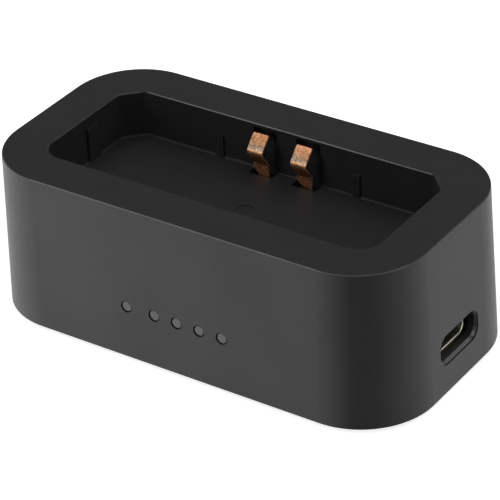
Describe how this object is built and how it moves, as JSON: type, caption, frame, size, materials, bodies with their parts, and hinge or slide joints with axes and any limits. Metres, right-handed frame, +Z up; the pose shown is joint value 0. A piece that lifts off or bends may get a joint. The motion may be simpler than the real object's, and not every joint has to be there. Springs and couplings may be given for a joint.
{
  "type": "camera flash battery charger",
  "caption": "Desktop charger with an open bay for one camera flash battery, sprung copper contacts, a row of charge lights and a small power port in one end.",
  "frame": {"origin": "under the middle of the four rubber feet, on the surface that the charger stands on", "axes": "+X along the charger towards the power port, -Y out of the face with the charge lights, +Z up out of the battery bay"},
  "size_m": [0.087, 0.0462, 0.0308],
  "materials": {
    "housing_plastic": "fine satin moulding texture",
    "cover_plastic": "matte moulded",
    "holder_plastic": "matte moulded",
    "screw_steel": "zinc plated",
    "foot_rubber": "matte",
    "contact_copper": "bare copper strip, satin",
    "lead_red": "soft satin insulation",
    "lead_black": "soft satin insulation",
    "guide_clear": "smoky clear moulding",
    "light_chip": "glossy",
    "port_steel": "bright tin plated sheet",
    "tongue_plastic": "matte moulded",
    "pad_gold": "gold plated",
    "board_green": "solder mask",
    "package_black": "matte moulded",
    "ferrite_grey": "matte ferrite",
    "capacitor_can": "satin can"
  },
  "bodies": {
    "charger": {"housing": "housing_plastic", "bottom_cover": "cover_plastic", "cover_screws": "screw_steel", "foot_front_left": "foot_rubber", "foot_front_right": "foot_rubber", "foot_back_left": "foot_rubber", "foot_back_right": "foot_rubber", "contact_holder": "holder_plastic", "lead_left": "lead_red", "lead_right": "lead_black", "light_guide": "guide_clear", "light_1": "light_chip", "light_2": "light_chip", "light_3": "light_chip", "light_4": "light_chip", "light_5": "light_chip", "port_shell": "port_steel", "port_tongue": "tongue_plastic", "port_pads": "pad_gold", "main_board": "board_green", "board_screws": "screw_steel", "charge_controller": "package_black", "power_inductor": "ferrite_grey", "input_capacitor": "capacitor_can", "output_capacitor": "capacitor_can", "power_transistors": "package_black"},
    "left_spring": {"contact_left": "contact_copper"},
    "right_spring": {"contact_right": "contact_copper"}
  },
  "joints": [
    {"name": "contact_left_flex", "type": "hinge", "parent": "charger", "child": "left_spring", "pos_m": [-0.0042, 0.01175, 0.01915], "axis": [-1, 0, 0], "range_deg": [0, 10], "stiffness_Nm_per_rad": 0.06},
    {"name": "contact_right_flex", "type": "hinge", "parent": "charger", "child": "right_spring", "pos_m": [0.005, 0.01175, 0.01915], "axis": [-1, 0, 0], "range_deg": [0, 10], "stiffness_Nm_per_rad": 0.06}
  ]
}
